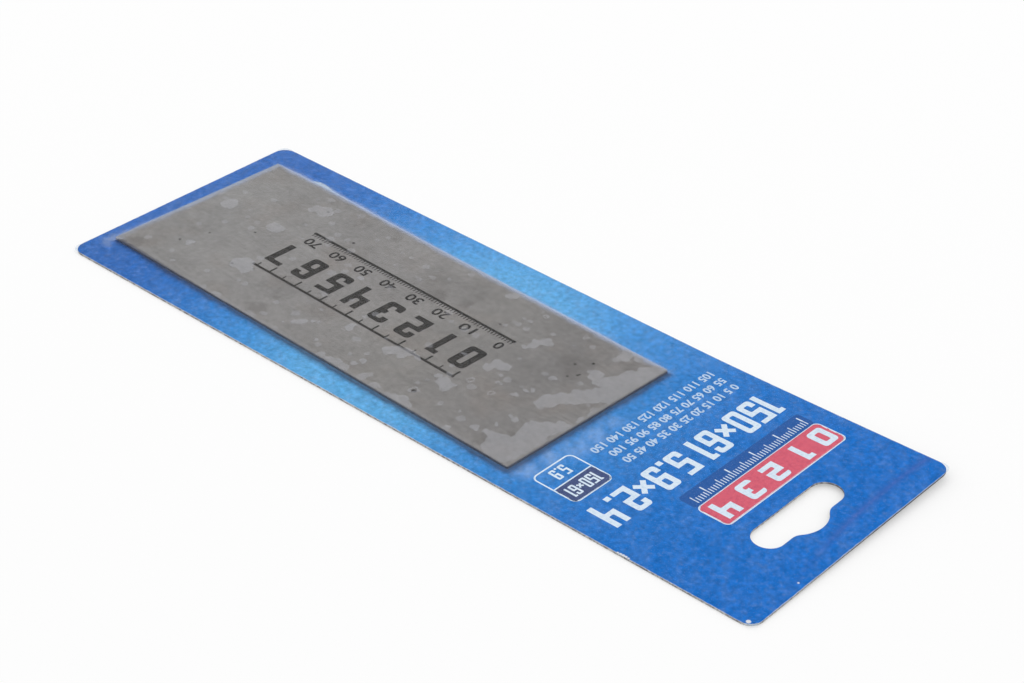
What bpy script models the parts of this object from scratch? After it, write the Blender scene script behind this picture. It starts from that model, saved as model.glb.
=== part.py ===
"""Cabinet scraper on its hang card: a steel blade laid on a printed board and sealed under clear skin film.

Metres, +Z up. The origin is the middle of the card's back, which lies on the bench. +Y runs up the card
to the hang slot, and the blade lies a little askew, as it was packed by hand.
"""

import math

import bmesh
import bpy
from mathutils import Matrix, Vector

# Blade: a plate of hardened sheet steel, its edges ground square and its sheared corners barely eased
BLADE_LENGTH = 0.150
BLADE_WIDTH = 0.061
BLADE_THICKNESS = 0.0008
BLADE_CORNER_RADIUS = 0.0005
BLADE_ARRIS = 0.0001
BLADE_TURN = math.radians(-1.85)

# Backing card: solid board, die-cut round the film's tent with a flat border on each side
CARD_THICKNESS = 0.0006
CARD_CORNER_RADIUS = 0.004
CARD_LEFT_BORDER = 0.0080
CARD_RIGHT_BORDER = 0.0050
CARD_FAR_BORDER = 0.0033
CARD_HANG_PANEL = 0.0761
CARD_CORNER_LIFT = 0.0019
CARD_CURL_POWER = 1.3

# Hang slot: a round-ended pill with a filleted bump on the side of the card's end
SLOT_WIDTH = 0.0323
SLOT_HEIGHT = 0.0087
SLOT_BUMP_RISE = 0.0030
SLOT_BUMP_RADIUS = 0.0091
SLOT_BUMP_FILLET = 0.0037
SLOT_END_MARGIN = 0.00985

# Skin film: drawn down over the blade and sealed to the board's printed face. The tent round the blade
# is hollow: at each share of its reach it stands at a share of its height.
FILM_THICKNESS = 0.00015
FILM_TENT_REACH = 0.0015
FILM_TENT_SHARES = ((0.22, 0.55), (0.5, 0.22), (0.75, 0.06))

# Clearance between the plies, and how far a punch runs past what it cuts
SEAT_GAP = 0.0001
OVERRUN = 0.002

# Facets
CORNER_STEPS = 6
SLOT_END_STEPS = 12
SLOT_BUMP_STEPS = 12
SLOT_FILLET_STEPS = 5
PANEL_ROWS = 8
PANEL_COLUMNS = 8
SMOOTH_UNDER = math.radians(30)
ARRIS_OVER = math.radians(60)

# Where the blade and the tent over it reach, turned as they lie
TURN_COS, TURN_SIN = math.cos(BLADE_TURN), abs(math.sin(BLADE_TURN))
TENT_SPREAD = SEAT_GAP + FILM_TENT_REACH
TENT_HALF_X = (BLADE_WIDTH * TURN_COS + BLADE_LENGTH * TURN_SIN) / 2 + TENT_SPREAD
TENT_HALF_Y = (BLADE_LENGTH * TURN_COS + BLADE_WIDTH * TURN_SIN) / 2 + TENT_SPREAD

CARD_WIDTH = CARD_LEFT_BORDER + 2 * TENT_HALF_X + CARD_RIGHT_BORDER
CARD_LENGTH = CARD_FAR_BORDER + 2 * TENT_HALF_Y + CARD_HANG_PANEL
BLADE_X = CARD_LEFT_BORDER + TENT_HALF_X - CARD_WIDTH / 2
BLADE_Y = CARD_FAR_BORDER + TENT_HALF_Y - CARD_LENGTH / 2
PANEL_START = CARD_LENGTH / 2 - CARD_HANG_PANEL

# Levels, from the bench up
BLADE_BASE = CARD_THICKNESS + SEAT_GAP
BLADE_TOP = BLADE_BASE + BLADE_THICKNESS
FILM_BASE = CARD_THICKNESS + SEAT_GAP
FILM_OVER_BLADE = BLADE_TOP + SEAT_GAP


def material(name, colour, roughness, metallic=0.0, alpha=1.0):
    made = bpy.data.materials.new(name)
    made.use_nodes = True
    shader = made.node_tree.nodes["Principled BSDF"]
    shader.inputs["Base Color"].default_value = (*colour, 1.0)
    shader.inputs["Roughness"].default_value = roughness
    shader.inputs["Metallic"].default_value = metallic
    shader.inputs["Alpha"].default_value = alpha
    return made


def add_object(name, bm, finish):
    """The finished mesh as a named object with its outward normals set."""
    bmesh.ops.recalc_face_normals(bm, faces=bm.faces)
    mesh = bpy.data.meshes.new(name)
    bm.to_mesh(mesh)
    bm.free()
    made = bpy.data.objects.new(name, mesh)
    if finish:
        mesh.materials.append(finish)
    mesh.shade_smooth()
    mesh.set_sharp_from_angle(angle=SMOOTH_UNDER)
    bpy.context.scene.collection.objects.link(made)
    return made


def arc(centre_x, centre_y, radius, start, end, steps):
    """Points of an arc, both ends included; the angles are in degrees."""
    angles = [math.radians(start + (end - start) * i / steps) for i in range(steps + 1)]
    return [(centre_x + radius * math.cos(a), centre_y + radius * math.sin(a)) for a in angles]


def rounded_outline(width, length, radius):
    """An upright rectangle with four arcs for corners, anticlockwise from its right side."""
    across, along = width / 2 - radius, length / 2 - radius
    corners = [(across, along), (-across, along), (-across, -along), (across, -along)]
    points = []
    for quarter, (x, y) in enumerate(corners):
        points += arc(x, y, radius, 90 * quarter, 90 * quarter + 90, CORNER_STEPS)
    return points


def card_outline():
    return rounded_outline(CARD_WIDTH, CARD_LENGTH, CARD_CORNER_RADIUS)


def blade_outline(spread=0.0):
    """The blade's outline, grown by spread all round, turned and moved to where it lies on the card."""
    points = rounded_outline(
        BLADE_WIDTH + 2 * spread, BLADE_LENGTH + 2 * spread, BLADE_CORNER_RADIUS + spread
    )
    place = Matrix.Translation((BLADE_X, BLADE_Y, 0)) @ Matrix.Rotation(BLADE_TURN, 4, "Z")
    return [(place @ Vector((x, y, 0))).to_2d() for x, y in points]


def slot_outline():
    """The hang slot, anticlockwise from the foot of its right end."""
    top = CARD_LENGTH / 2 - SLOT_END_MARGIN - SLOT_BUMP_RISE
    end_radius = SLOT_HEIGHT / 2
    end_x, end_y = SLOT_WIDTH / 2 - end_radius, top - end_radius
    bump_y = top + SLOT_BUMP_RISE - SLOT_BUMP_RADIUS
    fillet_y = top + SLOT_BUMP_FILLET
    reach = SLOT_BUMP_RADIUS + SLOT_BUMP_FILLET
    fillet_x = math.sqrt(reach**2 - (fillet_y - bump_y) ** 2)
    meet = math.degrees(math.atan2(fillet_y - bump_y, fillet_x))
    right_end = arc(end_x, end_y, end_radius, -90, 90, SLOT_END_STEPS)
    right_fillet = arc(fillet_x, fillet_y, SLOT_BUMP_FILLET, 270, 180 + meet, SLOT_FILLET_STEPS)
    bump = arc(0, bump_y, SLOT_BUMP_RADIUS, meet, 180 - meet, SLOT_BUMP_STEPS)
    left_fillet = [(-x, y) for x, y in reversed(right_fillet)]
    left_end = [(-x, y) for x, y in reversed(right_end)]
    return right_end + right_fillet + bump[1:-1] + left_fillet + left_end


def panel_lift(x, y):
    """How far the panel has curled up at x, y: most at its left end corner, nothing along its right side."""
    along = max(0.0, (y - PANEL_START) / CARD_HANG_PANEL)
    across = (1 - 2 * x / CARD_WIDTH) / 2
    return CARD_CORNER_LIFT * along**CARD_CURL_POWER * across


def loop_of(bm, points, height):
    return [bm.verts.new((x, y, height)) for x, y in points]


def bridge(bm, inner, outer):
    """Quads between two loops that have the same number of points."""
    for i, vertex in enumerate(inner):
        after = (i + 1) % len(inner)
        bm.faces.new((vertex, outer[i], outer[after], inner[after]))


def slice_faces(bm, faces, point, normal):
    """Cuts these faces along a plane and keeps both sides."""
    edges = {e for f in faces for e in f.edges}
    verts = {v for f in faces for v in f.verts}
    geometry = [*faces, *edges, *verts]
    bmesh.ops.bisect_plane(bm, geom=geometry, plane_co=point, plane_no=normal)


def cut_panel(bm):
    """Cuts the hang panel into rows and columns, so that its flat faces can follow the curl."""
    for row in range(PANEL_ROWS):
        y = PANEL_START + CARD_HANG_PANEL * row / PANEL_ROWS
        slice_faces(bm, list(bm.faces), (0, y, 0), (0, 1, 0))
    for column in range(1, PANEL_COLUMNS):
        x = CARD_WIDTH * (column / PANEL_COLUMNS - 1 / 2)
        panel = [f for f in bm.faces if f.calc_center_median().y > PANEL_START]
        slice_faces(bm, panel, (x, 0, 0), (1, 0, 0))


def thicken_up(bm, thickness):
    """Gives a sheet its thickness, upwards, and its curl at the hang panel."""
    raised = bmesh.ops.extrude_face_region(bm, geom=list(bm.faces), use_keep_orig=True)
    top = [v for v in raised["geom"] if isinstance(v, bmesh.types.BMVert)]
    bmesh.ops.translate(bm, vec=(0, 0, thickness), verts=top)
    for vertex in bm.verts:
        vertex.co.z += panel_lift(vertex.co.x, vertex.co.y)


def punch_slot(sheet, punch):
    hole = sheet.modifiers.new("hang_slot", "BOOLEAN")
    hole.operation = "DIFFERENCE"
    hole.solver = "EXACT"
    hole.object = punch


def make_slot_punch():
    """The tool that cuts card and film together, straight through both."""
    bm = bmesh.new()
    base = bm.faces.new(loop_of(bm, slot_outline(), -OVERRUN))
    height = FILM_BASE + FILM_THICKNESS + CARD_CORNER_LIFT + 2 * OVERRUN
    raised = bmesh.ops.extrude_face_region(bm, geom=[base])
    top = [v for v in raised["geom"] if isinstance(v, bmesh.types.BMVert)]
    bmesh.ops.translate(bm, vec=(0, 0, height), verts=top)
    punch = add_object("slot_punch", bm, None)
    punch.hide_render = True
    punch.display_type = "WIRE"
    return punch


def make_blade(finish):
    """The steel plate, flat, with a fine arris along both faces."""
    bm = bmesh.new()
    base = bm.faces.new(loop_of(bm, blade_outline(), BLADE_BASE))
    raised = bmesh.ops.extrude_face_region(bm, geom=[base])
    top = [v for v in raised["geom"] if isinstance(v, bmesh.types.BMVert)]
    bmesh.ops.translate(bm, vec=(0, 0, BLADE_THICKNESS), verts=top)
    blade = add_object("blade", bm, finish)
    arris = blade.modifiers.new("arris", "BEVEL")
    arris.width = BLADE_ARRIS
    arris.segments = 1
    arris.limit_method = "ANGLE"
    arris.angle_limit = ARRIS_OVER


def make_card(finish, punch):
    """The board: its outline, cut for the curl, given its thickness and then its hang slot."""
    bm = bmesh.new()
    bm.faces.new(loop_of(bm, card_outline(), 0))
    cut_panel(bm)
    thicken_up(bm, CARD_THICKNESS)
    card = add_object("backing_card", bm, finish)
    punch_slot(card, punch)


def make_film(finish, punch):
    """The film: flat over the blade, a hollow tent past its edges, then flat on the board to its outline."""
    bm = bmesh.new()
    loops = [loop_of(bm, blade_outline(SEAT_GAP), FILM_OVER_BLADE)]
    for reach, height in FILM_TENT_SHARES:
        spread = SEAT_GAP + FILM_TENT_REACH * reach
        level = FILM_BASE + (FILM_OVER_BLADE - FILM_BASE) * height
        loops.append(loop_of(bm, blade_outline(spread), level))
    loops.append(loop_of(bm, blade_outline(TENT_SPREAD), FILM_BASE))
    loops.append(loop_of(bm, card_outline(), FILM_BASE))
    bm.faces.new(loops[0])
    for inner, outer in zip(loops, loops[1:]):
        bridge(bm, inner, outer)
    cut_panel(bm)
    thicken_up(bm, FILM_THICKNESS)
    film = add_object("skin_film", bm, finish)
    punch_slot(film, punch)


for old in list(bpy.data.objects):
    bpy.data.objects.remove(old, do_unlink=True)

ground_steel = material("ground_steel", (0.26, 0.255, 0.25), roughness=0.42, metallic=0.9)
printed_board = material("printed_board", (0.026, 0.156, 0.545), roughness=0.55)
clear_film = material("clear_film", (0.80, 0.80, 0.86), roughness=0.30, alpha=0.18)

slot_punch = make_slot_punch()
make_blade(ground_steel)
make_card(printed_board, slot_punch)
make_film(clear_film, slot_punch)
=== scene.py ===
# %% [markdown]
# # A carded cabinet scraper
#
# A cabinet scraper is one plate of spring steel. This one is sold on a hang
# card: a printed board with a hang slot, the blade laid on it a little askew,
# and a clear film drawn down over both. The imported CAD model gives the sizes
# and the frame, and this lesson dresses it in Blender: the board, its print,
# the film and the steel.
#
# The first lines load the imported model. Its origin is the middle of the card's
# back, +Y runs to the hang slot and +Z comes out of the printed face.

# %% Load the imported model
from functools import partial
from math import atan2, exp, hypot, pi, radians, sin, sqrt

import bmesh
import bpy
from mathutils import Matrix, Vector


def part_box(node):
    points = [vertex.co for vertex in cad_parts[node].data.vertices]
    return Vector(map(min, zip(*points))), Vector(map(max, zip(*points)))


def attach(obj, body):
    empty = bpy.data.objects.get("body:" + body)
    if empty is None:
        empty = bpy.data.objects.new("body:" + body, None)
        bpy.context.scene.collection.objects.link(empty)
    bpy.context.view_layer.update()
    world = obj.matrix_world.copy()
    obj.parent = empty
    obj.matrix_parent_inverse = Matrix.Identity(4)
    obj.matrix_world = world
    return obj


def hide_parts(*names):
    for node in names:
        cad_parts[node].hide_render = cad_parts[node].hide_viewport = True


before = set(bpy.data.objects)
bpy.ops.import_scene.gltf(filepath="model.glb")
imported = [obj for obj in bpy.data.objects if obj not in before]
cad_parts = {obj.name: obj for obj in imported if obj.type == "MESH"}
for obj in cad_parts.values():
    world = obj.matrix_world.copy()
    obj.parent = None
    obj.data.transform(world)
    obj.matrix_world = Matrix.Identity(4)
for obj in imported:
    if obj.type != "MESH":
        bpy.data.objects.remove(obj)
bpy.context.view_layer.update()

MM = 0.001
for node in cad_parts:
    low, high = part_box(node)
    print(node, [round(v / MM, 3) for v in low], [round(v / MM, 3) for v in high])

# %% [markdown]
# ## The camera
#
# The view is long and low: a lens of about 86 mm, two thirds of a metre away,
# looking down at 33 degrees from the hang end and the card's right side. The
# camera is given a place and a point to look at, and is then rolled a little,
# as the photographer's was. A track quaternion turns its -Z axis to the point
# and keeps its Y axis up.

# %% Set the camera
CAMERA_PLACE = Vector((406.419, 348.797, 356.243)) * MM
CAMERA_AIM = Vector((-9.351, 0.630, 0.600)) * MM
CAMERA_ROLL = radians(2.539)
CAMERA_LENS = 86.445

lens = bpy.data.cameras.new("camera")
lens.lens = CAMERA_LENS
lens.sensor_width = 36.0
lens.clip_start = 0.01
camera = bpy.data.objects.new("camera", lens)
bpy.context.scene.collection.objects.link(camera)
looking = (CAMERA_AIM - CAMERA_PLACE).to_track_quat("-Z", "Y")
rolled = looking.to_matrix() @ Matrix.Rotation(CAMERA_ROLL, 3, "Z")
camera.matrix_world = Matrix.Translation(CAMERA_PLACE) @ rolled.to_4x4()
bpy.context.scene.camera = camera
bpy.context.scene.view_settings.view_transform = "Standard"
print("camera axes", [[round(v, 4) for v in row] for row in rolled])

# %% [markdown]
# ## Small helpers for materials
#
# Colours are written as the hex values that a screen shows, and Blender mixes
# light in linear numbers, so one function turns the first into the second.
# Another adds a node. Its inputs are listed as the node shows them, from the
# top: numbers, colours, outputs, or an earlier node, which stands for the first
# output that it shows. Its settings are named, and so are its inputs where it
# has many. `new_material` gives back that function for one material as `add`,
# and a recipe then reads as a short list of nodes.

# %% Colours and nodes
def colour(hex_value):
    """Linear RGBA from an sRGB hex value such as #2D6EC3."""
    parts = [int(hex_value[i:i + 2], 16) / 255.0 for i in (1, 3, 5)]
    linear = [p / 12.92 if p <= 0.04045 else ((p + 0.055) / 1.055) ** 2.4 for p in parts]
    return (*linear, 1.0)


def add_node(tree, kind, *inputs, named=None, stops=(), **settings):
    """Add a node: inputs from the top or by name, a colour ramp's stops, and settings."""
    new = tree.nodes.new("ShaderNode" + kind)
    for name, value in settings.items():
        setattr(new, name, value)
    shown = [socket for socket in new.inputs if socket.enabled]
    by_name = [(new.inputs[name], value) for name, value in (named or {}).items()]
    for socket, value in [*zip(shown, inputs), *by_name]:
        if isinstance(value, bpy.types.Node):
            value = next(output for output in value.outputs if output.enabled)
        if isinstance(value, bpy.types.NodeSocket):
            tree.links.new(value, socket)
        else:
            socket.default_value = value
    if stops:
        ramp = new.color_ramp
        while len(ramp.elements) < len(stops):
            ramp.elements.new(1.0)
        for element, (place, tint) in zip(ramp.elements, stops):
            element.position = place
            element.color = tint
    return new


def new_material(name):
    """An empty material, and the function that adds nodes to it."""
    material = bpy.data.materials.new(name)
    material.use_nodes = True
    material.node_tree.nodes.clear()
    return material, partial(add_node, material.node_tree)


print("blue", [round(v, 3) for v in colour("#2D6EC3")])

# %% [markdown]
# ## Floor, room and light
#
# The object lies on a white sweep in a white studio. The room is white to the
# camera and in reflections, so steel and film show a white room, while its
# light on the object is kept a little lower, and one large soft lamp high up
# behind the card adds the rest. Together they light a surface so that its
# colour comes out about as it is written, and the sweep's white paper comes
# out white but not blown. Nearly all the light comes from the room, so
# the floor is even and shadows are soft and close, as in the photograph. The
# sweep is lit from below as well, as such sweeps are for pack shots: to the
# eye two fifths of its white is its own light, which thins the shadows on it.

# %% The white room
ROOM_FILL = 0.94


def seen_directly(add):
    """1 for the rays that show the white background, and 0 for those that light the object."""
    ray = add("LightPath")
    seen = add("Math", ray.outputs["Is Camera Ray"], ray.outputs["Is Glossy Ray"], operation="MAXIMUM")
    return add("Math", seen, ray.outputs["Is Transmission Ray"], operation="MAXIMUM")


world = bpy.data.worlds.new("white studio")
bpy.context.scene.world = world
world.use_nodes = True
world.node_tree.nodes.clear()
add = partial(add_node, world.node_tree)
strength = add("MapRange", seen_directly(add), 0.0, 1.0, ROOM_FILL, 1.0)
add("OutputWorld", add("Background", colour("#FFFFFF"), strength))
print("room fill", ROOM_FILL)

# %% The soft lamp behind the card
LAMP_PLACE = Vector((-1.40, -1.00, 2.10))
LAMP_SIZE = 1.80
LAMP_POWER = 7.0

lamp_data = bpy.data.lights.new("softbox", "AREA")
lamp_data.shape = "SQUARE"
lamp_data.size = LAMP_SIZE
lamp_data.energy = LAMP_POWER
lamp = bpy.data.objects.new("softbox", lamp_data)
bpy.context.scene.collection.objects.link(lamp)
lamp.location = LAMP_PLACE
lamp.rotation_euler = (-LAMP_PLACE).to_track_quat("-Z", "Y").to_euler()
lamp.visible_glossy = False
print("lamp", LAMP_POWER, "W")

# %% The white floor
def select_only(*pieces):
    """Leave edit mode and select these pieces alone, the first one active, or nothing at all."""
    if bpy.context.object and bpy.context.object.mode != "OBJECT":
        bpy.ops.object.mode_set(mode="OBJECT")
    bpy.ops.object.select_all(action="DESELECT")
    for piece in pieces:
        piece.select_set(True)
    if pieces:
        bpy.context.view_layer.objects.active = pieces[0]


FLOOR_SIZE = 6.0
FLOOR_LEVEL = -0.02 * MM
FLOOR_GLOW = 0.4
FLOOR_WHITE = colour("#FDFDFD")

select_only()
bpy.ops.mesh.primitive_plane_add(size=FLOOR_SIZE, location=(0.0, 0.0, FLOOR_LEVEL))
floor = bpy.context.object
floor.name = "white_floor"
paper, add = new_material("white paper sweep")
share = add("Math", seen_directly(add), FLOOR_GLOW, operation="MULTIPLY")
lit, glow = add("BsdfDiffuse", FLOOR_WHITE), add("Emission", FLOOR_WHITE, 1.0)
add("OutputMaterial", add("MixShader", share, lit, glow))
floor.data.materials.append(paper)
print("floor", FLOOR_SIZE, "m")

# %% [markdown]
# ## Sizes
#
# The sizes of the card and the blade repeat the CAD model's, so each new piece
# lands where its solid is. The film is thinner here and lies closer, as real
# plies do. The blade has its own axes: its middle is a little off the card's
# and it is turned by almost two degrees, because it was laid on by hand.

# %% Sizes of the card, the blade and the film
CARD_WIDTH = 82.011 * MM
CARD_LENGTH = 234.491 * MM
CARD_THICKNESS = 0.6 * MM
CARD_CORNER = 4.0 * MM
PANEL_START = 41.1455 * MM
PANEL_LENGTH = 76.1 * MM
CORNER_LIFT = 1.9 * MM
CURL_POWER = 1.3

BLADE_WIDTH = 61.0 * MM
BLADE_LENGTH = 150.0 * MM
BLADE_CORNER = 0.5 * MM
BLADE_MIDDLE = Vector((1.5, -36.4, 0.0)) * MM
BLADE_TURN = radians(-1.85)
BLADE_TOP = 1.5 * MM

INK_DEPTH = 0.015 * MM
FILM_ON_CARD = 0.64 * MM
FILM_ON_BLADE = 1.53 * MM
FILM_THICKNESS = 0.09 * MM
print("card", CARD_WIDTH, CARD_LENGTH, "blade", BLADE_WIDTH, BLADE_LENGTH)

# %% [markdown]
# ## Helpers for shaping
#
# `pick` selects vertices, edges or faces by a test on their place or normal,
# as a box selection would by hand. `extrude` pushes out what is selected, and
# `face_outwards` puts the normals right. `add_sheet` adds a plane, sizes it
# and rounds its corners. `curl` lifts the card's left hang corner by 1.9 mm:
# every vertex gets a weight that grows along the hang panel and towards its
# left side, and a Displace modifier moves it up by that share. The board, the
# film and the print are all flat pieces that take this same curl.

# %% Helpers for shaping
def pick(kind, test):
    """In edit mode, select only the parts of a kind that pass the test."""
    bpy.ops.mesh.select_mode(type=kind)
    bpy.ops.mesh.select_all(action="DESELECT")
    shape = bmesh.from_edit_mesh(bpy.context.object.data)
    parts = {"VERT": shape.verts, "EDGE": shape.edges, "FACE": shape.faces}[kind]
    found = [part for part in parts if test(part)]
    for part in found:
        part.select_set(True)
    shape.select_flush_mode()
    bmesh.update_edit_mesh(bpy.context.object.data)
    return len(found)


def middle(part):
    """The middle of an edge or a face."""
    return sum((v.co for v in part.verts), Vector()) / len(part.verts)


def extrude(x=0.0, z=0.0):
    """Extrude what is selected, and move the new part."""
    bpy.ops.mesh.extrude_region_move(TRANSFORM_OT_translate={"value": (x, 0.0, z)})


def face_outwards():
    """In edit mode, turn the whole mesh's normals outwards."""
    bpy.ops.mesh.select_all(action="SELECT")
    bpy.ops.mesh.normals_make_consistent(inside=False)


def add_sheet(name, width, length, corner, steps, place=(0.0, 0.0, 0.0)):
    """A flat rectangle with rounded corners, left in edit mode, its place in its mesh."""
    select_only()
    bpy.ops.mesh.primitive_plane_add(size=1.0)
    sheet = bpy.context.object
    sheet.name = sheet.data.name = name
    sheet.scale = (width, length, 1.0)
    sheet.location = place
    bpy.ops.object.transform_apply(location=True, rotation=True, scale=True)
    bpy.ops.object.mode_set(mode="EDIT")
    bpy.ops.mesh.select_all(action="SELECT")
    if corner > 0.0:
        bpy.ops.mesh.bevel(affect="VERTICES", offset=corner, segments=steps)
    return sheet


def apply_modifier(piece, kind, settings):
    """Add one modifier with its settings, and apply it."""
    select_only(piece)
    modifier = piece.modifiers.new(kind.lower(), kind)
    for name, value in settings.items():
        setattr(modifier, name, value)
    bpy.ops.object.modifier_apply(modifier=modifier.name)


def curl(piece):
    """Lift the piece's vertices on the hang panel as the card's corner is lifted."""
    lift = piece.vertex_groups.new(name="curl")
    for vertex in piece.data.vertices:
        along = max(0.0, (vertex.co.y - PANEL_START) / PANEL_LENGTH)
        weight = along ** CURL_POWER * (1.0 - 2.0 * vertex.co.x / CARD_WIDTH) / 2.0
        lift.add([vertex.index], min(1.0, max(0.0, weight)), "REPLACE")
    apply_modifier(piece, "DISPLACE", {"direction": "Z", "strength": CORNER_LIFT,
                                       "mid_level": 0.0, "vertex_group": "curl"})
    piece.vertex_groups.clear()


def cut_rows(start, end, count, axis="Y"):
    """In edit mode, cut the whole mesh across at even steps, so that it can bend."""
    normal = (0.0, 1.0, 0.0) if axis == "Y" else (1.0, 0.0, 0.0)
    for i in range(count):
        place = start + (end - start) * i / (count - 1)
        bpy.ops.mesh.select_mode(type="FACE")
        bpy.ops.mesh.select_all(action="SELECT")
        bpy.ops.mesh.bisect(plane_co=tuple(place * n for n in normal), plane_no=normal)


print("helpers ready")

# %% [markdown]
# ## The hang slot
#
# The slot is a euro slot: a long round-ended hole with a bump in the middle of
# its upper side, where the peg sits. Its cutter is drawn as a draughtsman
# would, with tangent arcs. One vertex is spun about each arc's centre in turn,
# and is pushed along the straight stretches between them. The loop is filled
# and pushed up to a solid, which a Boolean takes from the board and the film.

# %% Draw the slot's cutter
SLOT_WIDTH = 32.3 * MM
SLOT_HEIGHT = 8.7 * MM
SLOT_MIDDLE = 100.046 * MM
BUMP_RISE = 3.0 * MM
BUMP_RADIUS = 9.1 * MM
BUMP_FILLET = 3.7 * MM
ARC_STEPS = {"end": 20, "fillet": 8, "bump": 16}
CUTTER_START, CUTTER_DEPTH = -2.0 * MM, 8.0 * MM


def spin_on(centre, angle, steps):
    """Spin the selected vertex anticlockwise; with no window a spin turns the other way."""
    bpy.ops.mesh.spin(steps=steps, angle=-angle, center=(*centre, 0.0), axis=(0.0, 0.0, 1.0))


def draw_slot():
    """The slot's outline as a solid, through card and film."""
    end_radius = SLOT_HEIGHT / 2.0
    end_x = SLOT_WIDTH / 2.0 - end_radius
    top = SLOT_MIDDLE + end_radius
    bump_y = top + BUMP_RISE - BUMP_RADIUS
    fillet_y = top + BUMP_FILLET
    fillet_x = sqrt((BUMP_RADIUS + BUMP_FILLET) ** 2 - (fillet_y - bump_y) ** 2)
    lean = atan2(fillet_y - bump_y, fillet_x)
    select_only()
    bpy.ops.mesh.primitive_plane_add(size=1.0 * MM)
    cutter = bpy.context.object
    cutter.name = "slot_cutter"
    bpy.ops.object.mode_set(mode="EDIT")
    bpy.ops.mesh.select_all(action="SELECT")
    bpy.ops.mesh.merge(type="CENTER")
    bpy.ops.transform.translate(value=(end_x, SLOT_MIDDLE - end_radius, 0.0))
    spin_on((end_x, SLOT_MIDDLE), pi, ARC_STEPS["end"])
    extrude(x=fillet_x - end_x)
    spin_on((fillet_x, fillet_y), -(pi / 2.0 - lean), ARC_STEPS["fillet"])
    spin_on((0.0, bump_y), pi - 2.0 * lean, ARC_STEPS["bump"])
    spin_on((-fillet_x, fillet_y), -(pi / 2.0 - lean), ARC_STEPS["fillet"])
    extrude(x=fillet_x - end_x)
    spin_on((-end_x, SLOT_MIDDLE), pi, ARC_STEPS["end"])
    extrude(x=2.0 * end_x)
    bpy.ops.mesh.select_all(action="SELECT")
    bpy.ops.mesh.remove_doubles(threshold=0.01 * MM)
    bpy.ops.mesh.edge_face_add()
    bpy.ops.transform.translate(value=(0.0, 0.0, CUTTER_START))
    extrude(z=CUTTER_DEPTH)
    face_outwards()
    bpy.ops.object.mode_set(mode="OBJECT")
    return cutter


cutter = draw_slot()
print("slot cutter", [round(v / MM, 2) for v in cutter.dimensions], len(cutter.data.polygons), "faces")

# %% [markdown]
# ## The printed board
#
# The card is die-cut from solid board 0.6 mm thick. A plane gets the card's
# size and rounded corners, and is pushed up to its thickness. A small Bevel on
# its rims stands for the fibres that the die rolls over, and the Boolean cuts
# the slot. Then rows and columns of cuts let it take the curl.

# %% Model the board
ROLLED_RIM = 0.07 * MM
PANEL_ROWS = 22
CARD_COLUMNS = 9
COLUMNS_TO = 0.44 * CARD_WIDTH
LAST_ROW = CARD_LENGTH / 2.0 - 1.0 * MM

card = add_sheet("printed_card", CARD_WIDTH, CARD_LENGTH, CARD_CORNER, 10)
bpy.ops.mesh.select_all(action="SELECT")
extrude(z=CARD_THICKNESS)
face_outwards()
apply_modifier(card, "BOOLEAN", {"operation": "DIFFERENCE", "solver": "EXACT", "object": cutter})
apply_modifier(card, "BEVEL", {"width": ROLLED_RIM, "segments": 2, "limit_method": "ANGLE",
                               "angle_limit": radians(60.0)})
bpy.ops.object.mode_set(mode="EDIT")
cut_rows(PANEL_START, LAST_ROW, PANEL_ROWS)
cut_rows(-COLUMNS_TO, COLUMNS_TO, CARD_COLUMNS, axis="X")
bpy.ops.object.mode_set(mode="OBJECT")
curl(card)
bpy.ops.object.shade_smooth_by_angle(angle=radians(30.0))
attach(card, "root")
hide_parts("backing_card")
print("board", [round(v / MM, 2) for v in card.dimensions], len(card.data.polygons), "faces")

# %% [markdown]
# ### The board's printed face, cut edge and back
#
# The face is offset litho on white-lined board: deep blue at the ends and a
# paler, greener glow behind the blade. The glow is a soft gradient on the
# distance from one point, stretched along the card by dividing by its reach.
# The film over it sticks in tiny wet and dry flecks a millimetre or two across,
# which show as a fine mottle of light and dark. Where the die has cut, the ink
# is cracked and lets white paper through, along the rim and in a few specks,
# and where the corner has been bent up a faint crease runs across the panel:
# a soft band of painted shade along the fold, with a thin rubbed line on it.
# The cut edge is bare tan fibre, with painted shade low down by the lifted
# corner, and the back is uncoated grey-white board.
# Spots of every kind are given by place and radius in millimetres.

# %% Printed face: the blue and its glow
SMOOTH = {"interpolation_type": "SMOOTHSTEP"}
GLOW_PLACE = (4.0 * MM, -14.0 * MM, 0.0)
GLOW_REACH = (1.0 / (96.0 * MM), 1.0 / (74.0 * MM), 0.0)
GLOW_SPAN = 1.7
GLOW_STOPS = ((0.40, "#60A9DE"), (0.61, "#4791D3"), (0.83, "#3882CB"),
              (1.08, "#2B76C6"), (1.35, "#1F6FC3"), (1.66, "#1B6DC4"))
DULL_FROM, DULL_TO, DULL_MOST = -44.0 * MM, -112.0 * MM, 0.9


def spot_depth(add, place, spots, blend):
    """How deep a place lies inside round spots that flow together where they meet."""
    depth = -1.0
    for x, y, radius in spots:
        away = add("VectorMath", place, (x * MM, y * MM, 0.0), operation="DISTANCE")
        inside = add("Math", radius * MM, away, operation="SUBTRACT")
        depth = add("Math", inside, depth, blend * MM, operation="SMOOTH_MAX")
    return depth


def glow_blue(add, place):
    """The printed blue: its glow behind the blade, and a duller far end."""
    centred = add("VectorMath", place, GLOW_PLACE, operation="SUBTRACT")
    stretched = add("VectorMath", centred, GLOW_REACH, operation="MULTIPLY")
    away = add("VectorMath", stretched, operation="LENGTH")
    share = add("Math", away, GLOW_SPAN, operation="DIVIDE")
    glow = add("ValToRGB", share, stops=[(at / GLOW_SPAN, colour(tone)) for at, tone in GLOW_STOPS])
    length = add("SeparateXYZ", place).outputs["Y"]
    far = add("MapRange", length, DULL_FROM, DULL_TO, 0.0, DULL_MOST, **SMOOTH)
    return add("Mix", far, glow, colour("#3769B4"), data_type="RGBA")


print("glow stops", len(GLOW_STOPS))

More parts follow.
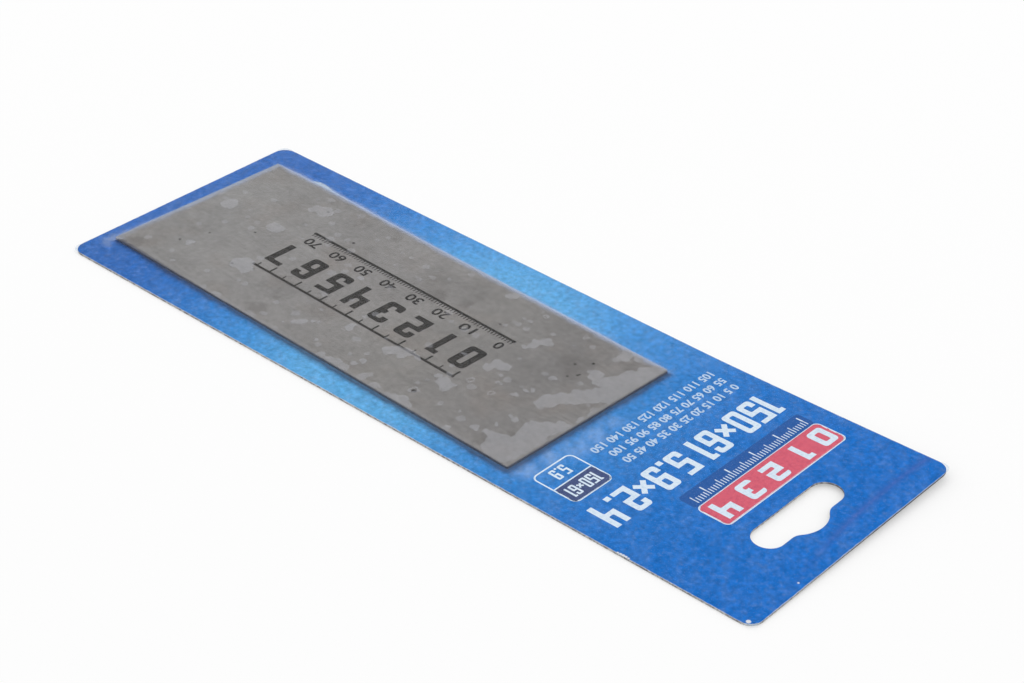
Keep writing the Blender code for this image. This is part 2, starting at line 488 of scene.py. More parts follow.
# %% Printed face: worn rim and crease
CREASE_LOW = (-25.0 * MM, 110.0 * MM)
CREASE_BEND = 2.2
# The first line is a soft band of painted shade along the fold, the second a thin rubbed line.
CREASE_LINES = ((2.4 * MM, 0.60), (0.9 * MM, 0.11))
CREASE_FADE = (20.0 * MM, -10.0 * MM, 0.15)


def rim_distance(add, flat):
    """How far inside the card's straight sides a place lies."""
    size = add("VectorMath", flat, operation="ABSOLUTE")
    left = add("VectorMath", (CARD_WIDTH / 2.0, CARD_LENGTH / 2.0, 0.0), size, operation="SUBTRACT")
    parts = add("SeparateXYZ", left)
    return add("Math", parts.outputs["X"], parts.outputs["Y"], operation="MINIMUM")


def crease_share(add, flat, broken):
    """Shares of painted shade on a soft fold and of a thin rubbed line, along a parabola across the
    panel.
    """
    x, y, _ = add("SeparateXYZ", flat).outputs
    over = add("Math", x, CREASE_LOW[0], operation="SUBTRACT")
    bend = add("Math", over, over, operation="MULTIPLY")
    line = add("Math", bend, CREASE_BEND, CREASE_LOW[1], operation="MULTIPLY_ADD")
    gap = add("Math", y, line, operation="SUBTRACT")
    wide = add("Math", gap, operation="ABSOLUTE")
    fade = add("MapRange", x, *CREASE_FADE, **SMOOTH)
    shares = []
    for (half, most), texture in zip(CREASE_LINES, (1.0, broken)):
        near = add("MapRange", wide, half, 0.0, 0.0, most, **SMOOTH)
        faded = add("Math", near, fade, operation="MULTIPLY")
        shares.append(add("Math", faded, texture, operation="MULTIPLY"))
    return shares


print("crease lines", len(CREASE_LINES))

# %% [markdown]
# ### Noise
#
# A noise node's scale is one over the size of its features. Its fourth
# coordinate gives another pattern of the same kind, so it serves as a seed.
# Most of its values lie between 0.3 and 0.7, and a Map Range node that doesn't
# clamp spreads these to the wanted range. Turned and stretched by a Mapping
# node, a noise shows as streaks, here at 38 degrees across the card.

# %% Printed face: ink and its mottle
SEEDED = {"noise_dimensions": "4D"}
NOISE_RANGE = (0.3, 0.7)
BRUSHED = ((0.0, 0.0, 0.0), (0.0, 0.0, radians(38.0)), (2.6, 1.0, 1.0))
RIM_WEAR = 0.42 * MM
PAPER_SPECKS = ((39.7, 115, 0.62), (20.9, 115.3, 0.28), (40.75, 80.9, 0.30),
                (40.75, 80.1, 0.42), (40.8, 79.3, 0.48), (40.8, 78.5, 0.42), (40.85, 77.7, 0.36))
HAZE_SPOTS = ((1, 43, 1.5), (8, 43.5, 2.5), (15.5, 43.5, 3), (23, 42, 2), (31, 41, 2.5))
FLECK_SIZE, DRY_SIZE = 1.5 * MM, 1.9 * MM
UNEVEN_SIZE, STREAK_SIZE = 2.6 * MM, 3.0 * MM
HAZE_EDGE = (-3.5 * MM, 1.5 * MM, 0.0, 0.26)
SPECK_EDGE = (-0.10 * MM, 0.15 * MM)
DRY_FLECKS, WORN_EDGE = (0.50, 0.74, 0.0, 0.10), (0.02, 0.25, 0.0, 0.5)


def printed_face():
    """Blue litho ink under film, with a fine mottle and white paper where the ink is cracked."""
    material, add = new_material("blue litho on board")
    place = add("TexCoord").outputs["Object"]
    flat = add("VectorMath", place, (1.0, 1.0, 0.0), operation="MULTIPLY")
    brushed = add("Mapping", flat, *BRUSHED, vector_type="TEXTURE")
    fleck = add("TexNoise", flat, 0.0, 1.0 / FLECK_SIZE, 3.0, 0.62, **SEEDED)
    patchy = add("TexNoise", brushed, 2.0, 1.0 / UNEVEN_SIZE, 3.0, 0.55, **SEEDED)
    dry = add("TexNoise", flat, 5.0, 1.0 / DRY_SIZE, 2.0, 0.55, **SEEDED)
    streaks = add("TexNoise", brushed, 8.0, 1.0 / STREAK_SIZE, 3.0, 0.6, **SEEDED)
    mottle, uneven, rough, broken, streaked, streaks_alone = [
        add("MapRange", noise, *NOISE_RANGE, low, high, clamp=False)
        for noise, low, high in ((fleck, 0.75, 1.25), (patchy, 0.93, 1.07), (fleck, 0.42, 0.56),
                                 (fleck, -0.2, 1.6), (streaks, 0.5, 1.5), (streaks, -0.03, 0.07))]
    tone = add("Math", mottle, uneven, operation="MULTIPLY")
    face = add("Mix", 1.0, glow_blue(add, place), tone,
               data_type="RGBA", blend_type="MULTIPLY", clamp_result=False)
    flecked = add("MapRange", dry, *DRY_FLECKS, **SMOOTH)
    haze = add("MapRange", spot_depth(add, flat, HAZE_SPOTS, 2.0), *HAZE_EDGE, **SMOOTH)
    extra = add("Math", haze, streaked, streaks_alone, operation="MULTIPLY_ADD")
    pale = add("Math", flecked, extra, operation="ADD", use_clamp=True)
    fold_shade, rubbed = crease_share(add, flat, broken)
    rim = add("Math", rim_distance(add, flat), RIM_WEAR, operation="DIVIDE")
    crack = add("Math", dry, rim, operation="SUBTRACT")
    worn = add("MapRange", crack, *WORN_EDGE)
    speck = add("MapRange", spot_depth(add, flat, PAPER_SPECKS, 0.2), *SPECK_EDGE)
    bare = add("Math", worn, speck, operation="MAXIMUM")
    # The fold's darker blue (#3664B4) is painted shade along the crease.
    for share, tint in ((pale, "#A8C2EA"), (fold_shade, "#3664B4"), (rubbed, "#856A9F"), (bare, "#E0E4EA")):
        face = add("Mix", share, face, colour(tint), data_type="RGBA")
    bump = add("Bump", named={"Strength": 0.15, "Distance": 0.05 * MM, "Height": fleck})
    shader = add("BsdfPrincipled", named={"Base Color": face, "Roughness": rough, "Normal": bump,
                                          "Specular IOR Level": 0.03})
    add("OutputMaterial", shader)
    return material


print("printed face ready, with", len(PAPER_SPECKS), "paper specks")

# %% Bare board, and the board's three materials
# Painted shade: near the slot and the lifted left corner, low down on the board, the bare edge and
# back darken as the shade under the lifted card does.
EDGE_SHADE_ALONG = (94.0 * MM, 106.0 * MM)
EDGE_SHADE_ACROSS = (34.0 * MM, -14.0 * MM)
EDGE_SHADE_BELOW = (0.58 * MM, 0.30 * MM, 0.30, 0.95)


def board_height(add, x, y, z):
    """Height above the board's own back, with the curl taken off."""
    along = add("MapRange", y, PANEL_START, PANEL_START + PANEL_LENGTH)
    steep = add("Math", along, CURL_POWER, operation="POWER")
    across = add("MapRange", x, -CARD_WIDTH / 2.0, CARD_WIDTH / 2.0, CORNER_LIFT, 0.0)
    lift = add("Math", steep, across, operation="MULTIPLY")
    return add("Math", z, lift, operation="SUBTRACT")


def board_fibre(name, pale, dark, grain):
    """Bare board: short matt fibres in two near tones, with painted shade low down by the lifted
    corner.
    """
    material, add = new_material(name)
    place = add("TexCoord").outputs["Object"]
    fibre = add("TexNoise", place, 1.0 / grain, 5.0, 0.7)
    tone = add("ValToRGB", fibre, stops=[(0.40, colour(dark)), (0.60, colour(pale))])
    x, y, z = add("SeparateXYZ", place).outputs
    by_hang_slot = add("MapRange", y, *EDGE_SHADE_ALONG, **SMOOTH)
    low = add("MapRange", board_height(add, x, y, z), *EDGE_SHADE_BELOW, **SMOOTH)
    where = add("Math", by_hang_slot, add("MapRange", x, *EDGE_SHADE_ACROSS), operation="MULTIPLY")
    edge_shade = add("Math", where, low, operation="MULTIPLY")
    # Painted shade under the lifted corner, in #3C4148.
    shaded_edge = add("Mix", edge_shade, tone, colour("#3C4148"), data_type="RGBA")
    bump = add("Bump", named={"Strength": 0.3, "Distance": 0.04 * MM, "Height": fibre})
    shader = add("BsdfPrincipled", named={"Base Color": shaded_edge, "Roughness": 0.9, "Normal": bump,
                                          "Specular IOR Level": 0.2})
    add("OutputMaterial", shader)
    return material


card.data.materials.clear()
for material in (printed_face(),
                 board_fibre("bare board edge", "#BDBCBA", "#78777B", 0.9 * MM),
                 board_fibre("uncoated board back", "#C3C1BA", "#B0ADA6", 0.8 * MM)):
    card.data.materials.append(material)
for face in card.data.polygons:
    face.material_index = 0 if face.normal.z > 0.5 else (2 if face.normal.z < -0.5 else 1)
print("board faces", [sum(f.material_index == i for f in card.data.polygons) for i in range(3)])

# %% [markdown]
# ## Print on the board
#
# Printed marks are modelled as thin flat shapes that lie on the face, so that
# they stay sharp at any distance. They hold only plain numbers and a rule in
# centimetres, and each is as deep as a heavy film of ink. `flat_box` is the
# flat rectangle that a mark starts from, in millimetres. `ink_bar` gives it its
# depth, `ink_frame` cuts its middle out first, `ink_text` turns small numbers
# into a mesh and stretches them to a given width and height, and `join` makes
# several marks one piece.

# %% Helpers for printed marks
def extrude_ink(depth=INK_DEPTH):
    """In edit mode, give the flat mark its depth of ink, faces outwards."""
    bpy.ops.mesh.select_all(action="SELECT")
    extrude(z=depth)
    face_outwards()
    bpy.ops.object.mode_set(mode="OBJECT")


def flat_box(name, left, right, low, high, level, corner, steps):
    """A flat sheet between two x and two y values, in millimetres, left in edit mode."""
    return add_sheet(name, (right - left) * MM, (high - low) * MM, corner * MM, steps,
                     ((left + right) / 2.0 * MM, (low + high) / 2.0 * MM, level))


def ink_bar(name, left, right, low, high, level, corner=0.0):
    """A flat bar of ink between two x and two y values, in millimetres."""
    bar = flat_box(name, left, right, low, high, level, corner, 6)
    extrude_ink()
    return bar


def ink_frame(name, left, right, low, high, level, line, corner):
    """A frame of ink with rounded corners, in millimetres."""
    edge = flat_box(name, left, right, low, high, level, corner, 8)
    bpy.ops.mesh.select_mode(type="FACE")
    bpy.ops.mesh.select_all(action="SELECT")
    bpy.ops.mesh.inset(thickness=line * MM)
    bpy.ops.mesh.delete(type="FACE")
    extrude_ink()
    return edge


def ink_text(name, words, left, right, low, high, level, weight=0.0):
    """Numbers as a mesh, stretched to fill a box given in millimetres."""
    select_only()
    bpy.ops.object.text_add()
    text = bpy.context.object
    text.data.body = words
    text.data.offset = weight
    text.data.resolution_u = 4
    bpy.ops.object.convert(target="MESH")
    mark = bpy.context.object
    mark.name = mark.data.name = name
    wide, tall = [[c[axis] for c in mark.bound_box] for axis in (0, 1)]
    across = (right - left) * MM / (max(wide) - min(wide))
    up = (high - low) * MM / (max(tall) - min(tall))
    mark.scale = (across, up, 1.0)
    mark.location = (left * MM - min(wide) * across, low * MM - min(tall) * up, level)
    bpy.ops.object.transform_apply(location=True, rotation=True, scale=True)
    bpy.ops.object.mode_set(mode="EDIT")
    bpy.ops.mesh.select_all(action="SELECT")
    bpy.ops.mesh.remove_doubles(threshold=0.002 * MM)
    extrude_ink()
    return mark


def join(name, parts):
    """Make several marks one mesh."""
    select_only(*parts)
    bpy.ops.object.join()
    parts[0].name = parts[0].data.name = name
    return parts[0]


print("print helpers ready")

# %% [markdown]
# ### Heavy block numbers
#
# The large numbers are condensed and heavy, with square counters, as on many
# packs. No font here has that shape, so each is cut from a slab: a rectangle
# of ink loses its counters and openings to a few Boolean cutters. Two columns
# and six rows of grid lines give every cutter its place, the same for a number
# of any size, and the corners that the real letters round are bevelled first.
# Each cut names its left and right column and its low and high row, where 1.4
# is two fifths of the way from column 1 to 2. The thickness of a bar and the
# roundings are shares of the stroke's width.

# %% Block numbers
FIGURE_CUTS = {"0": ((1, 2, 1, 6),), "1": ((0, 2, 0, 6),),
               "2": ((1, 2, 4, 6), (0, 2, 4, 5), (1, 3, 1, 3)),
               "3": ((1, 2, 4, 6), (1, 2, 1, 3), (0, 1.4, 2, 5)),
               "4": ((1, 2, 4, 7), (0, 2, 0, 3)),
               "5": ((1, 3, 4, 6), (1, 2, 1, 3), (0, 2, 2, 3)),
               "6": ((1, 2, 1, 3), (1, 2, 4, 6), (1, 3, 4, 5)),
               "7": ((0, 2, 0, 6),),
               "9": ((1, 2, 4, 6), (1, 2, 1, 3), (0, 2, 2, 3))}
ROUND_ENDS = {"0": "low top", "2": "top", "3": "low top",
              "5": "low", "6": "low top", "9": "low top"}
CUT_START, CUT_DEPTH = -1.0 * MM, 4.0 * MM
BAR_SHARE, ROUND_SHARE, COUNTER_ROUND = 0.82, 0.62, 0.24
TALL_FROM = 4.5
PAST = 1.0
ONE_WIDTH, CROSS_WIDTH, DOT_HEIGHT = 1.6, 0.84, 0.9
ARM_REACH, ARM_HALF, CROSS_HEIGHT = 0.62, 0.42, 0.42


def cut_out(piece, left, right, low, high, corner):
    """Cut a rounded rectangle, in millimetres, through a flat piece."""
    tool = flat_box("cut", left, right, low, high, CUT_START, corner, 5)
    extrude_ink(CUT_DEPTH)
    apply_modifier(piece, "BOOLEAN", {"operation": "DIFFERENCE", "solver": "EXACT", "object": tool})
    bpy.data.objects.remove(tool)


def figure(sign, left, low, wide, tall, stroke, level):
    """One block number from a slab of ink, in millimetres."""
    bar = BAR_SHARE * stroke
    under, over = (tall - bar) / 2.0, (tall + bar) / 2.0
    columns = (-PAST, stroke, wide - stroke, wide + PAST)
    hook = 0.5 if tall > TALL_FROM * stroke else 1.0
    rows = (-PAST, bar, under - hook * (under - bar), under,
            over, over + hook * (tall - bar - over), tall - bar, tall + PAST)
    slab = add_sheet("figure", wide * MM, tall * MM, 0.0, 1,
                     ((left + wide / 2.0) * MM, (low + tall / 2.0) * MM, level))
    ends, half = ROUND_ENDS.get(sign, ""), (low + tall / 2.0) * MM
    if pick("VERT", lambda v: ("top" if v.co.y > half else "low") in ends):
        bpy.ops.mesh.bevel(affect="VERTICES", offset=ROUND_SHARE * stroke * MM, segments=5)
    extrude_ink()
    for first, last, bottom, top in FIGURE_CUTS[sign]:
        part = last % 1.0
        right = stroke + part * (wide - 2.0 * stroke) if part else columns[last]
        cut_out(slab, left + columns[first], left + right, low + rows[bottom], low + rows[top],
                COUNTER_ROUND * stroke)
    return slab


def cross(left, low, wide, tall, stroke, level):
    """A multiplication cross, in millimetres."""
    arms, reach, half = [], ARM_REACH * wide, ARM_HALF * stroke
    for turn in (45.0, -45.0):
        arm = ink_bar("arm", -reach, reach, -half, half, level)
        arm.rotation_euler = (0.0, 0.0, radians(turn))
        arm.location = ((left + wide / 2.0) * MM, (low + CROSS_HEIGHT * tall) * MM, 0.0)
        bpy.ops.object.transform_apply(location=True, rotation=True, scale=True)
        arms.append(arm)
    apply_modifier(arms[0], "BOOLEAN", {"operation": "UNION", "solver": "EXACT", "object": arms[1]})
    bpy.data.objects.remove(arms[1])
    return arms[0]


def figures(words, left, low, wide, tall, stroke, gap, level):
    """A row of block numbers, a cross for x, and a square dot, in millimetres."""
    signs = []
    for sign in words:
        width = {"1": ONE_WIDTH * stroke, "x": CROSS_WIDTH * wide, ".": stroke}.get(sign, wide)
        if sign == ".":
            signs.append(ink_bar("dot", left, left + width, low, low + DOT_HEIGHT * stroke, level))
        elif sign == "x":
            signs.append(cross(left, low, width, tall, stroke, level))
        else:
            signs.append(figure(sign, left, low, width, tall, stroke, level))
        left += width + gap
    return signs


print("block numbers", "".join(FIGURE_CUTS))

# %% [markdown]
# ### Inks and etch
#
# Litho ink under film looks flat, with a slight unevenness where it sank into
# the board. An electrolytic etch on steel is matt black-grey, a little uneven
# where it bit. So each is its own two near tones in a fine mottle, a little
# darker and lighter over a millimetre or so.

# %% Make the inks
def mottled_mark(name, dark, light, spread, grain, detail, roughness, specular):
    """A printed or etched mark: two near tones in a fine mottle."""
    material, add = new_material(name)
    mottle = add("TexNoise", add("TexCoord").outputs["Object"], 1.0 / grain, detail)
    tones = add("ValToRGB", mottle, stops=[(spread[0], colour(dark)), (spread[1], colour(light))])
    shader = add("BsdfPrincipled", named={"Base Color": tones, "Roughness": roughness,
                                          "Specular IOR Level": specular})
    add("OutputMaterial", shader)
    return material


LITHO = ((0.34, 0.55), 0.9 * MM, 3.0, 0.5, 0.06)
white_ink = mottled_mark("white litho ink", "#CDE0F1", "#DEECF9", *LITHO)
thin_ink = mottled_mark("thin white litho ink", "#B4D0F0", "#C6DCF6", *LITHO)
red_ink = mottled_mark("red litho ink", "#CE5A70", "#DA6477", *LITHO)
navy_ink = mottled_mark("navy litho ink", "#434F7A", "#4C5A84", *LITHO)
deep_ink = mottled_mark("deep blue litho ink", "#28589D", "#2E5FA6", *LITHO)
print("inks", [m.name for m in (white_ink, thin_ink, red_ink, navy_ink, deep_ink)])

# %% Print the numbers
CARD_FACE = CARD_THICKNESS
ROW_STEP, ROW_MARGIN = 3.0 * MM, 0.01 * MM
SMALL_HEIGHT = 2.6


def lay_on_card(mark, ink):
    """Cut the mark so that it bends, curl it with the card, and say what carries it."""
    select_only(mark)
    low = min(v.co.y for v in mark.data.vertices)
    high = max(v.co.y for v in mark.data.vertices)
    bpy.ops.object.mode_set(mode="EDIT")
    cut_rows(low + ROW_MARGIN, high - ROW_MARGIN, 2 + int((high - low) / ROW_STEP))
    bpy.ops.object.mode_set(mode="OBJECT")
    curl(mark)
    mark.data.materials.clear()
    mark.data.materials.append(ink)
    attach(mark, "root")
    print(mark.name, len(mark.data.polygons), "faces")


title = join("title_numbers", figures("150x61", -34.3, 62.0, 5.2, 9.7, 1.75, 0.95, CARD_FACE)
             + figures("5.9x2.4", -0.4, 62.0, 5.2, 9.7, 1.75, 0.88, CARD_FACE))
lay_on_card(title, white_ink)
small_rows = (("0 5 10 15 20 25 30 35 40 45 50", -34.3, 11.5, 54.6),
              ("55 60 65 70 75 80 85 90 95 100", -34.3, 11.8, 50.5),
              ("105 110 115 120 125 130 140 150", -34.3, 14.0, 46.4))
small = join("small_numbers", [
    ink_text(f"row_{i}", words, left, right, low, low + SMALL_HEIGHT, CARD_FACE, 0.03)
    for i, (words, left, right, low) in enumerate(small_rows)])
lay_on_card(small, thin_ink)

# %% [markdown]
# ### A rule in centimetres
#
# A red strip with a white outline carries the numbers of a printed rule, and
# its white ticks hang below it on a deep blue ground: short ones for
# millimetres, longer ones at five and ten. Each length of tick is modelled
# once, and an Array modifier repeats it along the strip. White that is printed
# over another ink starts a little above that ink's face.

# %% Print the red strip and its rule
STRIP = (-34.6, 15.0, 80.6, 90.7)
OUTLINE_INSET = 0.3
OVERPRINT = 1.2


def ticks(name, first, step, count, low, high, width, level):
    """Equal ticks along x, in millimetres, from one bar and an Array modifier."""
    bar = ink_bar(name, first - width / 2.0, first + width / 2.0, low, high, level)
    apply_modifier(bar, "ARRAY", {"count": count, "use_relative_offset": False,
                                  "use_constant_offset": True,
                                  "constant_offset_displace": (step * MM, 0.0, 0.0)})
    return bar


left, right, low, high = STRIP
inner_left, inner_right = left + OUTLINE_INSET, right - OUTLINE_INSET
red_strip = ink_bar("red_strip", inner_left, inner_right, low + OUTLINE_INSET, high - OUTLINE_INSET,
                    CARD_FACE, 1.5)
lay_on_card(red_strip, red_ink)
ground = ink_bar("rule_ground", inner_left, inner_right, 74.9, low + 0.1, CARD_FACE, 1.2)
lay_on_card(ground, deep_ink)
white_level = CARD_FACE + INK_DEPTH * OVERPRINT
outline = ink_frame("strip_outline", left, right, low, high, CARD_FACE, 0.5, 1.8)
digits = [figure(str(i), -33.2 + 10.0 * i, 82.3, 3.1 if i == 1 else 5.6, 6.8, 1.8, white_level)
          for i in range(5)]
marks = [ticks("tick_1", -32.6, 1.0, 46, 77.9, 79.8, 0.28, white_level),
         ticks("tick_5", -27.6, 10.0, 5, 76.9, 78.0, 0.30, white_level),
         ticks("tick_10", -32.6, 10.0, 5, 76.0, 78.0, 0.42, white_level)]
rule = join("centimetre_rule", [outline] + digits + marks)
lay_on_card(rule, white_ink)

# %% Print the size tag
TAG = (18.4, 33.1, 43.9, 58.5)
TAG_BAR, DARK_FROM = (51.0, 51.4), 51.3

left, right, low, high = TAG
inner_left, inner_right = left + OUTLINE_INSET, right - OUTLINE_INSET
navy = ink_bar("size_tag_dark_half", inner_left, inner_right, DARK_FROM, high - OUTLINE_INSET,
               CARD_FACE, 1.2)
lay_on_card(navy, navy_ink)
size_tag = join("size_tag", [
    ink_frame("tag_frame", left, right, low, high, CARD_FACE, 0.45, 2.0),
    ink_bar("tag_bar", inner_left, inner_right, *TAG_BAR, white_level)]
    + figures("150x61", 20.4, 52.7, 1.80, 4.1, 0.62, 0.36, white_level)
    + figures("5.9", 23.4, 45.4, 1.90, 4.1, 0.66, 0.36, CARD_FACE))
lay_on_card(size_tag, white_ink)

# %% [markdown]
# ## Steel
#
# The blade is rolled spring steel, hardened and ground, so its faces are dull
# grey and cloudy from oil, darker towards the hang end, with fine scratches
# along its length, a brownish tinge here and there, a few smudges and black
# specks. Its CAD solid has the right shape and stays. A metal's colour is what
# it reflects: in a white room the base colour is nearly what the eye gets. The
# pattern is turned with the blade by a Mapping node, and its smudges and
# specks are round spots in the blade's own axes.

# %% Spots on the steel: dull places, smudges and specks
DULL_SPOTS = ((29, -54, 5), (29, -66, 6), (-21, 14, 4), (-19, 2, 4), (16, -8, 2), (15.5, -24, 3))
STEEL_TONES = ((0.0, "#8C8B8A"), (0.45, "#8A8887"), (0.66, "#858381"), (0.86, "#7F7D7C"),
               (1.0, "#82807F"))
SMUDGES = ((-17.5, 58.5, 1.8), (-13.5, 57.5, 2.8), (-10.5, 59, 1.2), (-15, 54, 2.2),
           (-24.5, 67.5, 1.8), (20, 66, 0.8), (-14.7, 30, 1), (-15.3, 17, 1.5), (-20.6, 16.6, 0.5),
           (-13, 8, 2.6), (-26, -21, 1), (26.5, -20.5, 2.4), (19, -21, 0.9), (28.5, -70, 2.2),
           (26, 62.5, 1.6))
SPECKS = ((-18.7, 59.4, 0.45), (-12.4, 60.3, 0.3), (-11.7, 60.1, 0.35), (-9.5, 58.6, 0.35),
          (-15.1, 56.2, 0.35), (23.8, 36, 0.7), (-22, -44.5, 0.4), (-15.4, -27.2, 0.45),
          (0.6, -50.2, 0.35), (16.2, -42.3, 0.4), (9.9, -58.8, 0.28), (18.2, -61.8, 0.35),
          (-14.9, 29.6, 0.3), (13.8, -36, 0.25))
DULL_EDGE = (-5.0 * MM, 3.0 * MM, 1.0, 0.88)
SMUDGE_EDGE, SMUDGE_BEND = (-2.2 * MM, 1.6 * MM, 0.0, 0.42), 1.2 * MM
DOT_EDGE = (-0.15 * MM, 0.15 * MM, 0.0, 0.95)

print("spots on the steel", len(DULL_SPOTS) + len(SMUDGES) + len(SPECKS))

# %% Ground steel
BROWN_SIZE, BROWN_RANGE = 15.0 * MM, (0.50, 0.72, 0.0, 0.45)
CLOUDS = ((20.0 * MM, 4.0, 0.5, 0.0, 0.09), (4.5 * MM, 4.0, 0.6, 4.0, 0.06))
GRIT_SIZE, GRIT_REACH = 1.5 * MM, 0.15
SCRATCH_SCALE = (1.0 / (0.45 * MM), 1.0 / (5.0 * MM), 1.0 / (0.45 * MM))
SCRATCH_REACH = 0.06
WANDER_SIZE, STEEL_ROUGH = 2.6 * MM, (0.40, 0.48)


def in_blade_axes(add, place):
    """Object coordinates turned and moved to the blade's own axes."""
    return add("Mapping", place, BLADE_MIDDLE, (0.0, 0.0, BLADE_TURN), vector_type="TEXTURE")


def steel():
    """Ground spring steel: grey, cloudy over centimetres, finely scratched lengthwise."""
    material, add = new_material("ground spring steel")
    turned = in_blade_axes(add, add("TexCoord").outputs["Object"])
    flat = add("VectorMath", turned, (1.0, 1.0, 0.0), operation="MULTIPLY")
    length = add("SeparateXYZ", flat).outputs["Y"]
    along = add("MapRange", length, -BLADE_LENGTH / 2.0, BLADE_LENGTH / 2.0)
    base = add("ValToRGB", along, stops=[(at, colour(tone)) for at, tone in STEEL_TONES])
    brownish = add("TexNoise", flat, 3.0, 1.0 / BROWN_SIZE, 3.0, 0.5, **SEEDED)
    brown = add("MapRange", brownish, *BROWN_RANGE)
    tinted = add("Mix", brown, base, colour("#847C76"), data_type="RGBA")
    grained = add("VectorMath", turned, SCRATCH_SCALE, operation="MULTIPLY")
    scratch = add("TexNoise", grained, 1.0, 2.0)
    grit = add("TexNoise", flat, 0.0, 1.0 / GRIT_SIZE, 4.0, 0.65, **SEEDED)
    wander = add("TexNoise", flat, 7.0, 1.0 / WANDER_SIZE, 3.0, 0.6, **SEEDED)
    layers = [(add("TexNoise", flat, seed, 1.0 / size, detail, rough, **SEEDED), reach)
              for size, detail, rough, seed, reach in CLOUDS]
    shade = 1.0
    for noise, reach in layers + [(grit, GRIT_REACH), (scratch, SCRATCH_REACH)]:
        layer = add("MapRange", noise, *NOISE_RANGE, 1.0 - reach, 1.0 + reach, clamp=False)
        shade = add("Math", layer, shade, operation="MULTIPLY")
    dull = add("MapRange", spot_depth(add, flat, DULL_SPOTS, 3.0), *DULL_EDGE, **SMOOTH)
    shade = add("Math", dull, shade, operation="MULTIPLY")
    face = add("Mix", 1.0, tinted, shade,
               data_type="RGBA", blend_type="MULTIPLY", clamp_result=False)
    bend = add("MapRange", wander, *NOISE_RANGE, -1.0, 1.0, clamp=False)
    smudges = spot_depth(add, flat, SMUDGES, 1.5)
    ragged = add("Math", bend, SMUDGE_BEND, smudges, operation="MULTIPLY_ADD")
    smudge = add("MapRange", ragged, *SMUDGE_EDGE, **SMOOTH)
    speck = add("MapRange", spot_depth(add, flat, SPECKS, 0.1), *DOT_EDGE)
    for share, tint in ((smudge, "#625E5C"), (speck, "#2A2826")):
        face = add("Mix", share, face, colour(tint), data_type="RGBA")
    bump = add("Bump", named={"Strength": 0.10, "Distance": 0.01 * MM, "Height": grit})
    rough = add("MapRange", wander, *NOISE_RANGE, *STEEL_ROUGH, clamp=False)
    shader = add("BsdfPrincipled", named={"Base Color": face, "Roughness": rough, "Normal": bump,
                                          "Metallic": 0.9})
    add("OutputMaterial", shader)
    return material


ground_steel = steel()
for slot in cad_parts["blade"].material_slots:
    slot.material = ground_steel
print("steel on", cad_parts["blade"].name)

# %% [markdown]
# ### A scale etched on the blade
#
# The steel carries a black mark along its middle. Here it is a plain scale:
# two long lines, one with a tick at each millimetre and small numbers, the
# other with ticks at the centimetres and large block numbers. It reads along
# the blade, so it is drawn flat and then turned a quarter, and by the blade's
# own two degrees.

# %% Etch the blade's scale
SCALE_HALF, SCALE_LINE = 38.6, 0.9
SCALE_LOW, SCALE_HIGH = -11.8, 12.4
black_etch = mottled_mark("black etch on steel", "#292827", "#3A3836",
                          (0.35, 0.65), 1.2 * MM, 4.0, 0.6, 0.12)

low_to, high_from = SCALE_LOW + SCALE_LINE, SCALE_HIGH - SCALE_LINE
etched = [ink_bar("low_line", -SCALE_HALF, SCALE_HALF, SCALE_LOW, low_to, BLADE_TOP),
          ink_bar("high_line", -SCALE_HALF, SCALE_HALF, high_from, SCALE_HIGH, BLADE_TOP),
          ticks("mm", -38.0, 1.0, 77, low_to, SCALE_LOW + 2.1, 0.34, BLADE_TOP),
          ticks("half_cm", -33.0, 10.0, 8, SCALE_HIGH - 2.3, high_from, 0.45, BLADE_TOP),
          ticks("cm", -38.0, 10.0, 8, SCALE_HIGH - 3.5, high_from, 0.60, BLADE_TOP)]
for i in range(8):
    spot = -37.6 + 10.0 * i
    etched.append(ink_text(f"mm_{i}", str(10 * i), spot, spot + (5.0 if i else 2.3),
                           -8.8, -5.3, BLADE_TOP, 0.02))
    etched.append(figure(str(i), spot, -2.3, 3.6 if i == 1 else 5.9, 10.4, 2.1, BLADE_TOP))
etch = join("blade_scale", etched)
select_only(etch)
etch.rotation_euler = (0.0, 0.0, BLADE_TURN - pi / 2.0)
etch.location = BLADE_MIDDLE
bpy.ops.object.transform_apply(location=True, rotation=True, scale=True)
etch.data.materials.clear()
etch.data.materials.append(black_etch)
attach(etch, "root")
print("etch", len(etch.data.polygons), "faces")

# %% [markdown]
# ## The skin film
#
# A skin film is heated, drawn down over the blade by vacuum, and sticks to the
# board. Round the blade it can't reach into the corner between steel and
# board, so it stands off as a small tent, steep at the blade and running out
# flat, wider in some places than in others: its reach is a sum of sines on the
# angle round the blade, with a bulge on the left and webs at the corners. The
# sheet starts as a rounded rectangle in the blade's own axes, wide enough for
# the widest tent. Insets lay ring after ring inside it, at the distances from
# the blade's edge that `RINGS` lists in millimetres, and a Displace modifier
# with weights raises them. A bridge joins the tent's foot to a sheet with the
# card's outline, and the whole is then given its thickness, slot and curl.

# %% Lay rings round the blade
RINGS = (3.1, 2.5, 1.95, 1.5, 1.15, 0.85, 0.6, 0.4, 0.25, 0.12, 0.0, -0.4)
RING_CUTS, LONG_EDGE = 240, 20.0 * MM

widest = RINGS[0] * MM
rings = add_sheet("drawn_film", BLADE_WIDTH + 2.0 * widest, BLADE_LENGTH + 2.0 * widest,
                  BLADE_CORNER + widest, 14, (0.0, 0.0, FILM_ON_CARD))
pick("EDGE", lambda e: e.calc_length() > LONG_EDGE)
bpy.ops.mesh.subdivide(number_cuts=RING_CUTS)
bpy.ops.mesh.select_mode(type="FACE")
bpy.ops.mesh.select_all(action="SELECT")
for outer, inner in zip(RINGS, RINGS[1:]):
    bpy.ops.mesh.inset(thickness=(outer - inner) * MM)
bpy.ops.object.mode_set(mode="OBJECT")
print("rings", len(RINGS), "with", len(rings.data.polygons), "faces")

# %% Raise the rings to a tent
BULGE_MIDDLE, BULGE_LENGTH = -52.0 * MM, 13.0 * MM
WEB_REACH = 6.0 * MM
TENT_POWER = 2.4


